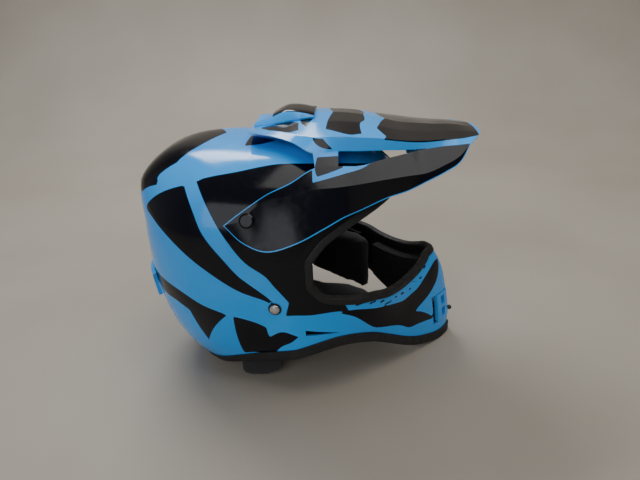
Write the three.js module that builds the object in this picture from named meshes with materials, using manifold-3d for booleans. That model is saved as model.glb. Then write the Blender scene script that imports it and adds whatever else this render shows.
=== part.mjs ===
// Motocross helmet with a peak, standing on its nape and chin.
// Millimetres. +X is forward (towards the chin), +Y is the wearer's left, +Z is up, the floor is z = 0.
// Shapes are worked out in the head's own frame, whose x = 0 is near the ears. The last lines move the
// whole assembly along X so that the origin is the centre of its footprint.
import * as THREE from 'three';
import { mergeVertices } from 'three/addons/utils/BufferGeometryUtils.js';
import Module from 'manifold-3d';

const wasm = await Module();
wasm.setup();

// ---------------------------------------------------------------- driving dimensions
const DEG = Math.PI / 180;
const GAP = 0.4;                      // clearance between touching pieces
const COLUMNS = 48;                   // facets round the helmet
const EYE = new THREE.Vector3(15, 0, 110);   // centre that the shell's rays start from

// The shell is a smooth union of two superellipsoids: the cranium and the jaw.
const CRANIUM = { x: -30, z: 150, front: 148, back: 142, half: 121, up: 101, down: 172, plan: 2.25, side: 2.6 };
const JAW = { x: 5, z: 74, front: 168, back: 120, half: 120, up: 100, down: 200, plan: 1.4, side: 2.3 };
const JAW_LEAN = 0.2;                 // the chin leans back as it rises
const CHIN_PINCH = 0.25;              // extra narrowing of the chin bar ahead of x = 40
const SPINE = 12;                     // height of the ridge along the back of the crown
const BLEND = 14;                     // radius of the blend between cranium and jaw

const SHELL_THICK = 4.5;
const FOAM_DEPTH = [8.2, 29];         // expanded-foam liner, measured in from the outer surface
const CHIN_FOAM_DEPTH = [6.4, 19];
const BLOCK_DEPTH = [6.4, 12];
const CHEEK_DEPTH = [13.4, 59];
const CHEEK_GAP = 54;                 // half the space left between the cheek pads
const CROWN_PAD_DEPTH = [30.6, 38];
const NECK_ROLL_DEPTH = [30.6, 42];

// Heights round the helmet, as [angle from straight ahead in degrees, height in mm].
const RIM = [[0, 2.6], [8, 3], [20, 11], [30, 21], [43, 36], [58, 51], [75, 59], [90, 56], [111, 44],
  [128, 33], [141, 20], [155, 8], [166, 3], [180, 3]];
const PORT_LOW = [[0, 114], [6, 112.5], [10, 108.5], [18, 102], [31, 98], [44, 98.5], [54, 102.5], [65, 105.5],
  [79, 112], [85, 117], [90, 130]];
const PORT_HIGH = [[0, 203], [20, 203], [40, 200], [55, 195], [68, 188], [78, 179], [84, 171], [90, 156]];
const PORT_END = 90;                  // angle of the eye port's rear edge
const TRIM_GRIP = 6;                  // how far a rubber trim reaches over the shell's edge
const TRIM_WALL = 1.6;
const TRIM_GAP = 1.0;                 // the facets of shell and trim differ, so trims stand further off
const BASE_GRIP = 9;
const BASE_DROP = 3;                  // rubber below the shell's rim

// Peak: rails run from back to front, each point [x, half-width, z] of the outer surface.
const PEAK_THICK = 2.6;
const ARM_GAP = 8;                    // the arms' outer face stands this far off the shell
const PIVOT = { x: -38, z: 198 };     // side screws that the peak turns on
const CLAMP = { x: 56, z: 256 };      // cross screw that holds the peak's tongue
const SLOT_ARC = [-3.4, 3.9];         // degrees below and above the clamp screw that the tongue's slot spans
const SLOT_HALF = 2.8;
const RIVET = { x: -21, z: 109, head: 5 };
const VENT = { half: 8.6, low: 24, high: 60 };     // chin vent: half-angle in degrees, heights
const HANGER = { z: 88, depth: 10.5, bar: 1.6, half: 14 };
const PAD = { x: -48, y: -85, thick: 11, top: 34 };

// ---------------------------------------------------------------- small maths
function hermite(points, t) {
  let i = 0;
  while (i < points.length - 2 && t > points[i + 1][0]) i += 1;
  const slope = (k) => {
    const a = points[Math.max(k - 1, 0)];
    const b = points[Math.min(k + 1, points.length - 1)];
    return (b[1] - a[1]) / (b[0] - a[0]);
  };
  const [t0, v0] = points[i];
  const [t1, v1] = points[i + 1];
  const w = t1 - t0;
  const s = (t - t0) / w;
  const s2 = s * s;
  const s3 = s2 * s;
  return (2 * s3 - 3 * s2 + 1) * v0 + (s3 - 2 * s2 + s) * w * slope(i)
    + (3 * s2 - 2 * s3) * v1 + (s3 - s2) * w * slope(i + 1);
}

function bisect(low, high, isLow) {
  for (let i = 0; i < 34; i += 1) {
    const middle = (low + high) / 2;
    if (isLow(middle)) low = middle;
    else high = middle;
  }
  return (low + high) / 2;
}

const clamp01 = (v) => Math.min(Math.max(v, 0), 1);

// ---------------------------------------------------------------- the shell's outer surface
function superellipsoid(e, x, y, z) {
  const dx = Math.abs((x - e.x) / (x > e.x ? e.front : e.back));
  const dy = Math.abs(y / e.half);
  const dz = Math.abs((z - e.z) / (z > e.z ? e.up : e.down));
  const plan = (dx ** e.plan + dy ** e.plan) ** (e.side / e.plan);
  return (plan + dz ** e.side) ** (1 / e.side);
}

// Signed measure of a point: below zero inside, and close to a distance in mm near the surface.
function field(p) {
  const along = clamp01((-30 - p.x) / 110);
  const ridge = SPINE * along * along * (3 - 2 * along) * Math.exp(-((p.y / 62) ** 4))
    * clamp01((p.z - 175) / 40);
  const cranium = (superellipsoid(CRANIUM, p.x, p.y, p.z) - 1) * 120 - ridge;
  const pinch = 1 + CHIN_PINCH * clamp01((p.x - 40) / 100) ** 2;
  const jaw = (superellipsoid(JAW, p.x + JAW_LEAN * (p.z - 20), p.y * pinch, p.z) - 1) * 110;
  const h = clamp01(0.5 + 0.5 * (jaw - cranium) / BLEND);
  return jaw + (cranium - jaw) * h - BLEND * h * (1 - h);
}

function normalAt(p) {
  const step = 0.5;
  const slope = (axis) => {
    const a = p.clone();
    const b = p.clone();
    a[axis] += step;
    b[axis] -= step;
    return field(a) - field(b);
  };
  return new THREE.Vector3(slope('x'), slope('y'), slope('z')).normalize();
}

function surface(angle, lift) {
  const ray = new THREE.Vector3(Math.cos(lift) * Math.cos(angle), Math.cos(lift) * Math.sin(angle),
    Math.sin(lift));
  const reach = bisect(0, 400, (t) => field(ray.clone().multiplyScalar(t).add(EYE)) < 0);
  return ray.multiplyScalar(reach).add(EYE);
}

const liftAt = (angle, z) => bisect(-1.4, 1.45, (lift) => surface(angle, lift).z < z);
const degreesOff = (angle) => Math.abs(Math.atan2(Math.sin(angle), Math.cos(angle))) / DEG;
const rimZ = (angle) => Math.max(hermite(RIM, degreesOff(angle)), 3);
const portLow = (angle) => hermite(PORT_LOW, Math.min(degreesOff(angle), PORT_END));
const portHigh = (angle) => hermite(PORT_HIGH, Math.min(degreesOff(angle), PORT_END));
const inward = (p, depth) => p.clone().addScaledVector(normalAt(p), -depth);

// Point of the shell's side at a given x and z, offset outwards; side is -1 for right, +1 for left.
function onSide(x, z, offset, side) {
  const y = bisect(0, 200, (t) => field(new THREE.Vector3(x, t, z)) < offset);
  return new THREE.Vector3(x, side * y, z);
}

// ---------------------------------------------------------------- mesh helpers
// An open sheet of shared points that becomes a closed solid when it is given two depths.
class Sheet {
  constructor() {
    this.points = [];
    this.lookup = new Map();
    this.faces = [];
  }

  point(p) {
    const key = `${p.x.toFixed(3)},${p.y.toFixed(3)},${p.z.toFixed(3)}`;
    if (!this.lookup.has(key)) {
      this.lookup.set(key, this.points.length);
      this.points.push(p);
    }
    return this.lookup.get(key);
  }

  triangle(a, b, c) {
    if (a !== b && b !== c && c !== a) this.faces.push([a, b, c]);
  }

  grid(rows, keep = () => true) {
    for (let i = 0; i < rows.length - 1; i += 1) {
      for (let j = 0; j < rows[i].length - 1; j += 1) {
        if (!keep(i, j)) continue;
        const [a, b, c, d] = [rows[i][j], rows[i + 1][j], rows[i + 1][j + 1], rows[i][j + 1]]
          .map((p) => this.point(p));
        this.triangle(a, b, c);
        this.triangle(a, c, d);
      }
    }
    return this;
  }

  faceNormals() {
    const normals = this.points.map(() => new THREE.Vector3());
    for (const [a, b, c] of this.faces) {
      const ab = this.points[b].clone().sub(this.points[a]);
      const ac = this.points[c].clone().sub(this.points[a]);
      const n = ab.cross(ac).normalize();
      [a, b, c].forEach((k) => normals[k].add(n));
    }
    return normals.map((n) => n.normalize());
  }

  // Outer faces at depth d0, inner faces at depth d1 and a wall along every open edge.
  solid(d0, d1, normals = this.points.map(normalAt)) {
    const shift = (depth) => this.points.map((p, k) => p.clone().addScaledVector(normals[k], -depth));
    const outer = shift(d0);
    const inner = shift(d1);
    const triangles = [];
    const edges = new Map();
    for (const [a, b, c] of this.faces) {
      triangles.push([outer[a], outer[b], outer[c]], [inner[a], inner[c], inner[b]]);
      [[a, b], [b, c], [c, a]].forEach(([p, q]) => {
        if (edges.has(`${q},${p}`)) edges.delete(`${q},${p}`);
        else edges.set(`${p},${q}`, [p, q]);
      });
    }
    for (const [p, q] of edges.values()) {
      triangles.push([outer[q], outer[p], inner[p]], [outer[q], inner[p], inner[q]]);
    }
    return fromTriangles(triangles);
  }
}

function fromTriangles(triangles) {
  const flat = triangles.flat().flatMap((p) => [p.x, p.y, p.z]);
  const geometry = new THREE.BufferGeometry();
  geometry.setAttribute('position', new THREE.Float32BufferAttribute(flat, 3));
  return outward(geometry);
}

// Turns the faces of a closed body so that they point out.
function outward(geometry) {
  const pos = geometry.getAttribute('position');
  const at = (i) => new THREE.Vector3().fromBufferAttribute(pos, i);
  let volume = 0;
  for (let i = 0; i < pos.count; i += 3) volume += at(i).dot(at(i + 1).cross(at(i + 2)));
  if (volume < 0) {
    for (let i = 0; i < pos.count; i += 3) {
      const [b, c] = [at(i + 1), at(i + 2)];
      pos.setXYZ(i + 1, c.x, c.y, c.z);
      pos.setXYZ(i + 2, b.x, b.y, b.z);
    }
  }
  return geometry;
}

// Closed body through a row of sections, each a loop of points; a ring joins its ends.
function loft(sections, ring = false) {
  const triangles = [];
  const quad = (a, b, c, d) => triangles.push([a, b, c], [a, c, d]);
  const spans = ring ? sections.length : sections.length - 1;
  for (let i = 0; i < spans; i += 1) {
    const a = sections[i];
    const b = sections[(i + 1) % sections.length];
    a.forEach((_, k) => {
      const next = (k + 1) % a.length;
      quad(a[k], b[k], b[next], a[next]);
    });
  }
  if (!ring) {
    const first = sections[0];
    const last = sections[sections.length - 1];
    for (let k = 1; k < first.length - 1; k += 1) {
      triangles.push([first[0], first[k], first[k + 1]], [last[0], last[k + 1], last[k]]);
    }
  }
  return fromTriangles(triangles);
}

function toManifold(geometry) {
  const plain = geometry.index ? geometry.toNonIndexed() : geometry.clone();
  Object.keys(plain.attributes).filter((n) => n !== 'position').forEach((n) => plain.deleteAttribute(n));
  const merged = mergeVertices(plain, 1e-4);
  return new wasm.Manifold(new wasm.Mesh({
    numProp: 3,
    vertProperties: new Float32Array(merged.getAttribute('position').array),
    triVerts: new Uint32Array(merged.index.array),
  }));
}

function fromManifold(body) {
  const mesh = body.getMesh();
  const geometry = new THREE.BufferGeometry();
  const corners = [];
  for (const v of mesh.triVerts) {
    const start = v * mesh.numProp;
    corners.push(...mesh.vertProperties.slice(start, start + 3));
  }
  geometry.setAttribute('position', new THREE.Float32BufferAttribute(corners, 3));
  return geometry;
}

const cut = (geometry, tools) => fromManifold(
  tools.reduce((body, tool) => body.subtract(toManifold(tool)), toManifold(geometry)));
const join = (geometry, others) => fromManifold(
  others.reduce((body, other) => body.add(toManifold(other)), toManifold(geometry)));

const mirrorY = (geometry) => outward((geometry.index ? geometry.toNonIndexed() : geometry.clone())
  .applyMatrix4(new THREE.Matrix4().makeScale(1, -1, 1)));

function box(x0, x1, y0, y1, z0, z1) {
  return new THREE.BoxGeometry(x1 - x0, y1 - y0, z1 - z0)
    .translate((x0 + x1) / 2, (y0 + y1) / 2, (z0 + z1) / 2);
}

// Round body on an axis: profile points [radius, distance along the axis] that close on the axis.
function turned(profile, origin, axis, sides = 16) {
  const lathe = new THREE.LatheGeometry(profile.map(([r, h]) => new THREE.Vector2(r, h)), sides);
  const spin = new THREE.Quaternion().setFromUnitVectors(new THREE.Vector3(0, 1, 0), axis.clone().normalize());
  return lathe.applyQuaternion(spin).translate(origin.x, origin.y, origin.z);
}

const rod = (radius, from, to, origin, axis, sides = 16) => turned(
  [[0, from], [radius, from], [radius, to], [0, to]], origin, axis, sides);

// ---------------------------------------------------------------- shell, liners and pads
const angles = Array.from({ length: COLUMNS + 1 }, (_, i) => -Math.PI + (2 * Math.PI * i) / COLUMNS);
angles[COLUMNS] = Math.PI;

// Heights between two levels, with a short first and last row where a trim grips the edge.
function spread(from, to, rows, firstStep, lastStep) {
  const list = [from];
  const start = from + firstStep;
  const end = to - lastStep;
  if (firstStep) list.push(start);
  for (let k = 1; k < rows; k += 1) list.push(start + ((end - start) * k) / rows);
  if (lastStep) list.push(end);
  list.push(to);
  return list;
}

// Points of one column of the shell, from the rim over the crown to the pole.
function column(angle, rimMargin, portMargin) {
  const low = portLow(angle) - portMargin;
  const high = portHigh(angle) + portMargin;
  const heights = [...spread(rimZ(angle) + rimMargin, low, 3, 10, 8), (low + high) / 2, high, high + 8];
  const lifts = heights.map((z) => liftAt(angle, z));
  const top = lifts[lifts.length - 1];
  const crown = 6;
  for (let k = 1; k <= crown; k += 1) lifts.push(top + ((Math.PI / 2 - top) * k) / crown);
  return lifts.map((lift) => surface(angle, lift));
}

const LOWER_ROWS = 5;
const isPort = (i, j) => degreesOff((angles[i] + angles[i + 1]) / 2) < PORT_END
  && (j === LOWER_ROWS || j === LOWER_ROWS + 1);

function closeRing(rows) {
  rows[rows.length - 1] = rows[0];
  return rows;
}

const shellRows = closeRing(angles.map((a) => column(a, 0, 0)));

function shellBody() {
  const sheet = new Sheet().grid(shellRows, (i, j) => !isPort(i, j));
  const openings = [ventCut(), ...sideVentCuts(), ...browCuts(0.5), ...exhaustCuts()];
  [-1, 1].forEach((side) => {
    openings.push(rod(2.8, -14, 8, rivetPoint(side), rivetAxis(side)));
    openings.push(rod(3.4, -14, 8, pivotPoint(side), pivotAxis(side)));
  });
  return cut(sheet.solid(0, SHELL_THICK), openings);
}

function foamLiner() {
  const rows = closeRing(angles.map((a) => column(a, 10, 12)));
  const back = (i) => degreesOff((angles[i] + angles[i + 1]) / 2) > 131;
  const sheet = new Sheet().grid(rows, (i, j) => j > LOWER_ROWS + 1 || back(i));
  const nuts = [-1, 1].map((side) => rod(11, -16, 0, pivotPoint(side), pivotAxis(side)));
  return cut(sheet.solid(...FOAM_DEPTH), [...nuts, ...browCuts(2), ...exhaustCuts()]);
}

// Part of the shell's inside between two angles; low and high give its heights at an angle.
function patch(from, to, steps, low, high, rows, keep) {
  const list = [];
  for (let i = 0; i <= steps; i += 1) {
    const angle = (from + ((to - from) * i) / steps) * DEG;
    const stack = [];
    for (let j = 0; j <= rows; j += 1) {
      const z = low(angle) + ((high(angle) - low(angle)) * j) / rows;
      stack.push(surface(angle, liftAt(angle, z)));
    }
    list.push(stack);
  }
  return new Sheet().grid(list, keep);
}

const CHEEK_TOP = [[46, 93], [56, 99], [66, 101], [80, 104], [90, 116], [97, 142], [106, 151], [130, 152]];
const CHEEK_LOW = [[46, 26], [56, 34], [75, 46], [95, 50], [108, 52], [127, 40]];
const cheekTop = (angle) => hermite(CHEEK_TOP, degreesOff(angle));
const cheekLow = (angle) => hermite(CHEEK_LOW, degreesOff(angle));

// The block stays under the inner lip of the eye port's trim.
const blockTop = (angle) => (degreesOff(angle) < 94 ? Math.min(cheekTop(angle), portLow(angle) - 9)
  : cheekTop(angle));

// The strap hangs in a slot between the shell and the cheek pad.
const strapSlot = (side, depth, top = 128) => box(-64, -4, Math.min(side * 122, side * depth),
  Math.max(side * 122, side * depth), 20, top);

function cheekBlock(side) {
  const body = patch(58 * side, 126 * side, 12, (a) => rimZ(a) + 11, blockTop, 4).solid(...BLOCK_DEPTH);
  return cut(body, [strapSlot(side, 80), box(20, 62, Math.min(side * 125, side * 70),
    Math.max(side * 125, side * 70), 75.5, 94.5)]);
}

function cheekPad(side) {
  const body = patch(46 * side, 127 * side, 14, cheekLow, cheekTop, 5).solid(...CHEEK_DEPTH);
  const middle = box(-120, 120, -CHEEK_GAP, CHEEK_GAP, 0, 200);
  const swing = strapSlot(side, 72, 74);
  return cut(body, [strapSlot(side, 88), swing, middle, ...studRods(side, 3.4, 0)]);
}

const chinFoam = () => cut(
  patch(-43, 43, 14, (a) => rimZ(a) + 11, (a) => portLow(a) - 9, 3).solid(...CHIN_FOAM_DEPTH),
  [box(110, 200, -30, 30, 0, VENT.high + 6)]);

const neckRoll = () => patch(133, 227, 14, (a) => rimZ(a) + 11, () => 72, 3).solid(...NECK_ROLL_DEPTH);

function crownPad() {
  const rows = closeRing(angles.filter((_, i) => i % 2 === 0).map((a) => {
    const start = liftAt(a, hermite([[0, 214], [60, 206], [100, 176], [180, 150]], degreesOff(a)));
    return [0, 1, 2, 3, 4, 5].map((k) => surface(a, start + ((Math.PI / 2 - start) * k) / 5));
  }));
  return new Sheet().grid(rows).solid(...CROWN_PAD_DEPTH);
}

// ---------------------------------------------------------------- rubber trims
function eyeportTrim() {
  const port = angles.filter((a) => degreesOff(a) <= PORT_END + 0.01);
  const at = (angle, z) => surface(angle, liftAt(angle, z));
  const path = [
    ...port.map((a) => at(a, portHigh(a))),
    at(port[port.length - 1], (portHigh(Math.PI / 2) + portLow(Math.PI / 2)) / 2),
    ...port.slice().reverse().map((a) => at(a, portLow(a))),
    at(port[0], (portHigh(Math.PI / 2) + portLow(Math.PI / 2)) / 2),
  ];
  const inner = SHELL_THICK + TRIM_GAP;
  const outer = TRIM_GAP + TRIM_WALL;
  const profile = [[-outer, outer], [TRIM_GRIP, outer], [TRIM_GRIP, TRIM_GAP], [-TRIM_GAP, TRIM_GAP],
    [-TRIM_GAP, -inner], [TRIM_GRIP, -inner], [TRIM_GRIP, -inner - TRIM_WALL], [-outer, -inner - TRIM_WALL]];
  return loft(path.map((p, k) => {
    const before = path[(k + path.length - 1) % path.length];
    const after = path[(k + 1) % path.length];
    const n = normalAt(p);
    const over = n.clone().cross(after.clone().sub(before)).normalize();
    return profile.map(([a, h]) => p.clone().addScaledVector(over, a).addScaledVector(n, h));
  }), true);
}

function baseTrim() {
  const inner = SHELL_THICK + GAP;
  return loft(angles.slice(0, COLUMNS).map((angle) => {
    const rim = shellRows[angles.indexOf(angle)][0];
    const top = surface(angle, liftAt(angle, rimZ(angle) + BASE_GRIP));
    const up = top.clone().sub(rim).normalize();
    const foot = (depth) => inward(rim, depth).setZ(rimZ(angle) - BASE_DROP);
    return [inward(top, -GAP - TRIM_WALL), inward(top, -GAP), inward(rim, -GAP).addScaledVector(up, -GAP),
      inward(rim, inner).addScaledVector(up, -GAP), inward(top, inner), inward(top, inner + TRIM_WALL),
      foot(inner + TRIM_WALL), foot(-GAP - TRIM_WALL)];
  }), true);
}

// ---------------------------------------------------------------- peak
const PEAK_CENTRE = [[-49, 0, 258], [-18, 0, 266], [1, 0, 270], [20, 0, 271], [43, 0, 270.5], [63, 0, 268],
  [81, 0, 264.5], [105, 0, 258.5], [124, 0, 256.5], [141, 0, 255], [162, 0, 254], [186, 0, 249.5]];
const PEAK_TOP = [[-47, 24, 260], [-19, 26, 265], [1, 30, 268], [20, 36, 268.5], [43, 34, 268], [63, 34, 266],
  [81, 34, 262], [106, 32, 256.5], [124, 29, 254.5], [141, 26, 253], [160, 24, 252.5], [184, 20, 250]];
const PEAK_CREASE = [[-46, 38, 262.5], [-19, 46, 263], [1, 56, 261.5], [20, 64, 260], [43, 65, 260],
  [63, 65, 258.5], [81, 64, 257], [106, 61, 253.5], [124, 56, 251.5], [141, 50, 250.5], [159, 45, 250],
  [177, 38, 249]];
const PEAK_SLOT = [[-45, 45, 262.5], [-19, 56, 260], [1, 68, 256.5], [20, 80, 249.5], [43, 70, 247.5],
  [63, 68, 246.5], [81, 66, 246], [106, 62, 244.5], [124, 58, 244], [141, 54, 245], [156, 54, 246],
  [167, 56, 247.5]];
const SKIRT_TOP = [[22, 91, 238.5], [43, 88, 238.5], [63, 88, 238.5], [81, 79, 240.5], [106, 68, 243],
  ...PEAK_SLOT.slice(8)];
const SKIRT_CREASE = [[20, 106, 223], [43, 104, 224], [63, 101, 225.5], [83, 96, 227], [105, 88, 227.5],
  [124, 80, 227.5], [141, 72, 232], [155, 66, 238], [167, 56, 247.5]];
const SKIRT_LOW = [[30, 118, 190], [47, 109, 196.5], [63, 101, 200.5], [86, 95, 209], [106, 88, 213],
  [124, 82, 219.5], [141, 75, 225.5], [156, 68, 233], [167, 56, 247.5]];
// The arms lie along the shell, so their points are [x, z] only, from the rear tip forwards.
const ARM_TOP = [[-60, 197], [-44, 208], [-21, 221], [0, 228.5]];
const ARM_CREASE = [[-60, 197], [-44, 202.5], [-23, 216], [1, 219.5]];
const ARM_LOW = [[-60, 197], [-43, 181.5], [-22, 173], [4, 179]];

const railPoint = (side) => ([x, half, z]) => new THREE.Vector3(x, side * half, z);
const armPoint = (side) => ([x, z]) => onSide(x, z, ARM_GAP, side);

function peakRails(side) {
  const rail = (points) => points.map(railPoint(side));
  const arm = (points) => points.map(armPoint(side));
  return {
    top: [PEAK_CENTRE, PEAK_TOP, PEAK_CREASE, PEAK_SLOT].map(rail),
    skirt: [[ARM_TOP, SKIRT_TOP], [ARM_CREASE, SKIRT_CREASE], [ARM_LOW, SKIRT_LOW]]
      .map(([back, front]) => [...arm(back), ...rail(front)]),
  };
}

const across = (rails) => rails[0].map((_, i) => rails.map((rail) => rail[i]));
const flipped = (side, rows) => (side > 0 ? rows : rows.map((row) => row.slice().reverse()));

function peakSheet() {
  const sheet = new Sheet();
  [-1, 1].forEach((side) => {
    const { top, skirt } = peakRails(side);
    sheet.grid(flipped(side, across(top)));
    sheet.grid(flipped(side, across(skirt)));
    [[3, 4], [7, 8]].forEach(([i, k]) => {
      const bridge = [top[3].slice(i, i + 2), skirt[0].slice(k, k + 2)];
      sheet.grid(flipped(side, across(bridge)));
    });
  });
  return sheet;
}

const pivotPoint = (side) => onSide(PIVOT.x, PIVOT.z, 0, side);
const pivotAxis = (side) => normalAt(pivotPoint(side));

const clampPoint = new THREE.Vector3(CLAMP.x, 0, CLAMP.z);
const LEFT = new THREE.Vector3(0, 1, 0);

// Arc slot in the peak's centre tongue, round the side pivots.
function tongueSlot() {
  const radius = Math.hypot(CLAMP.x - PIVOT.x, CLAMP.z - PIVOT.z);
  const start = Math.atan2(CLAMP.z - PIVOT.z, CLAMP.x - PIVOT.x);
  const arc = [];
  for (let k = 0; k <= 6; k += 1) arc.push(start + (SLOT_ARC[0] + ((SLOT_ARC[1] - SLOT_ARC[0]) * k) / 6) * DEG);
  const ring = (r) => arc.map((a) => [PIVOT.x + r * Math.cos(a), PIVOT.z + r * Math.sin(a)]);
  return alongY(outline([...ring(radius + SLOT_HALF), ...ring(radius - SLOT_HALF).reverse()]), -8, 8);
}

// Extrudes an outline drawn in X and Z from one y to another.
function alongY(shape, from, to) {
  return new THREE.ExtrudeGeometry(shape, { depth: to - from, bevelEnabled: false })
    .applyMatrix4(new THREE.Matrix4().set(1, 0, 0, 0, 0, 0, -1, to, 0, 1, 0, 0, 0, 0, 0, 1));
}

function outline(points) {
  const shape = new THREE.Shape();
  points.forEach(([x, y], k) => (k ? shape.lineTo(x, y) : shape.moveTo(x, y)));
  return shape;
}

function peakBody() {
  const sheet = peakSheet();
  const body = sheet.solid(0, PEAK_THICK, sheet.faceNormals());
  const tongue = alongY(outline([[40, 269], [76, 264.5], [74, 256], [67, 245.5], [54, 247], [46, 256]]), -2, 2);
  const holes = [-1, 1].map((side) => rod(3.1, 0, 20, pivotPoint(side), pivotAxis(side)));
  return cut(join(body, [tongue]), [tongueSlot(), ...holes]);
}

function peakTopZ(x, half) {
  const rails = [PEAK_CENTRE, PEAK_TOP, PEAK_CREASE];
  const along = (rail) => {
    let i = 0;
    while (i < rail.length - 2 && x > rail[i + 1][0]) i += 1;
    const s = clamp01((x - rail[i][0]) / (rail[i + 1][0] - rail[i][0]));
    return [1, 2].map((c) => rail[i][c] + (rail[i + 1][c] - rail[i][c]) * s);
  };
  const [centre, top, crease] = rails.map(along);
  const [a, b] = half < top[0] ? [centre, top] : [top, crease];
  return a[1] + ((b[1] - a[1]) * (half - a[0])) / (b[0] - a[0]);
}

// Raised hood on the back of the peak: [x, half-width at the foot, half-width on top, top height].
const HOOD = [[-45, 8, 4, 262.5], [-32, 18, 12, 268], [-15, 26, 19, 276.5], [-6, 27, 21, 278],
  [6, 27, 22, 276.5], [19, 25, 21, 273.6]];

function peakHood() {
  return loft(HOOD.map(([x, foot, top, z]) => {
    const floor = (y) => new THREE.Vector3(x, y, peakTopZ(x, Math.abs(y)) + 1.2);
    return [floor(-foot), new THREE.Vector3(x, -top, z - 1.5), new THREE.Vector3(x, -top / 2, z),
      new THREE.Vector3(x, top / 2, z), new THREE.Vector3(x, top, z - 1.5), floor(foot), floor(top / 2),
      floor(-top / 2)];
  }));
}

// Clevis bonded to the crown; its two cheeks hold the peak's tongue.
function peakBracket() {
  const block = box(42, 70, -9, 9, 234, 252);
  const cheeks = box(46, 64.5, -9, 9, 251, 259.8);
  const groove = box(30, 80, -2.5, 2.5, 240.8, 264);
  const crown = new Sheet().grid(shellRows, (i, j) => j > LOWER_ROWS + 3);
  const under = crown.solid(-GAP, 40);
  const pin = rod(2.8, -20, 20, clampPoint, LEFT);
  return cut(join(block, [cheeks]), [under, groove, pin]);
}

function sideScrew(side) {
  return turned([[0, -11.5], [2.5, -11.5], [2.5, 8.6], [7, 8.6], [7, 10], [5.2, 11.2], [0, 11.6]],
    pivotPoint(side), pivotAxis(side));
}

function sideNut(side) {
  const body = turned([[0, -12], [9, -12], [9, -7], [0, -7]],
    pivotPoint(side), pivotAxis(side));
  return cut(body, [rod(3.2, -20, 4, pivotPoint(side), pivotAxis(side))]);
}

function clampScrew() {
  const head = [[0, -13], [4.6, -13], [5, -12.4], [5, -9.4], [2.4, -9.4], [2.4, 9.4], [0, 9.4]];
  return turned(head, clampPoint, LEFT);
}

// ---------------------------------------------------------------- vents
function ventCut() {
  const edge = 0.5;
  return box(130, 200, -26 - edge, 26 + edge, VENT.low - edge, VENT.high + edge);
}

const ventPatch = (half, low, high, steps, rows, keep) => patch(-half, half, steps,
  () => low, () => high, rows, keep);

// Chin grille: an outer frame, two upright bars and two cross bars.
const chinGrille = () => ventPatch(VENT.half, VENT.low + 0.4, VENT.high - 0.4, 7, 9,
  (i, j) => [0, 2, 4, 6].includes(i) || [0, 4, 8].includes(j)).solid(-1.2, 4.2);

function chinShutter() {
  const plate = ventPatch(7, VENT.low + 2, 46, 6, 3).solid(6, 7.6);
  const knob = surface(0, liftAt(0, 31));
  const stem = rod(1.6, -7, 2, knob, new THREE.Vector3(1, 0, 0), 12);
  const ball = new THREE.SphereGeometry(2.9, 12, 8).translate(knob.x + 2.6, 0, knob.z);
  return join(plate, [stem, ball]);
}

const chinMesh = () => ventPatch(7.6, VENT.low + 1, VENT.high - 1, 6, 4).solid(8.4, 9.4);

// Long tapering side slots low on the jaw.
function sideVentCuts() {
  return [-1, 1].map((side) => alongY(outline([[7, 76], [7, 82.5], [41, 72.5]]),
    Math.min(side * 90, side * 130), Math.max(side * 90, side * 130)));
}

const BROW = { from: 13, to: 25, low: 213, high: 224 };
const browPatch = (side, margin) => patch(side * (BROW.from - margin * 0.5), side * (BROW.to + margin * 0.5),
  3, () => BROW.low - margin, () => BROW.high + margin, 2);
const browCuts = (margin) => [-1, 1].map((side) => browPatch(side, margin).solid(-3, 45));
const browVent = (side) => {
  const rows = patch(side * BROW.from, side * BROW.to, 5, () => BROW.low, () => BROW.high, 5,
    (i, j) => i % 4 === 0 || j % 2 === 0);
  return rows.solid(-1, 4);
};

// Rear spoiler over two exhaust holes at the nape.
function exhaustCuts() {
  return [-1, 1].map((side) => {
    const angle = Math.PI - side * 11 * DEG;
    const centre = surface(angle, liftAt(angle, 104));
    return rod(6, -45, 6, centre, normalAt(centre), 12);
  });
}

function rearSpoiler() {
  const hood = patch(160, 200, 10, () => 92, () => 118, 4, (i, j) => j > 0 || i % 3 === 0);
  return hood.solid(-4.6, -GAP - 0.2);
}

// ---------------------------------------------------------------- straps
const rivetPoint = (side) => onSide(RIVET.x, RIVET.z, 0, side);
const rivetAxis = (side) => normalAt(rivetPoint(side));

function rivet(side) {
  const dome = [[0, -14.2], [4.2, -14.2], [4.2, -13.2], [2.4, -13.2], [2.4, -10], [3.8, -10], [3.8, -5.8],
    [2.4, -5.8], [2.4, 1.4], [RIVET.head, 1.4], [RIVET.head * 0.9, 2.4], [RIVET.head * 0.5, 3.1], [0, 3.3]];
  return turned(dome, rivetPoint(side), rivetAxis(side));
}

const rivetWasher = (side) => turned([[2.8, GAP], [6.6, GAP], [6.2, 1.1], [2.8, 1.1], [2.8, GAP]],
  rivetPoint(side), rivetAxis(side));

// Steel hanger inside the shell: a plate under the rivet with a window and a thin bar at its foot.
const hangerY = onSide(RIVET.x, RIVET.z, 0, 1).y - HANGER.depth - HANGER.bar / 2;

function hanger(side) {
  const { x } = RIVET;
  const [wide, foot] = [HANGER.half, HANGER.z - 1];
  const plate = outline([[x - wide, foot], [x + wide, foot], [x + wide, 106], [x + 7, 122], [x - 7, 122],
    [x - wide, 106]]);
  const opening = outline([[x - wide + 2.5, foot + 2], [x + wide - 2.5, foot + 2], [x + wide - 2.5, foot + 10],
    [x - wide + 2.5, foot + 10]]);
  const centre = side * hangerY;
  const body = alongY(plate, centre - HANGER.bar / 2, centre + HANGER.bar / 2);
  return cut(body, [alongY(opening, -160, 160), rod(2.8, -20, 20, rivetPoint(side), rivetAxis(side))]);
}

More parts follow.
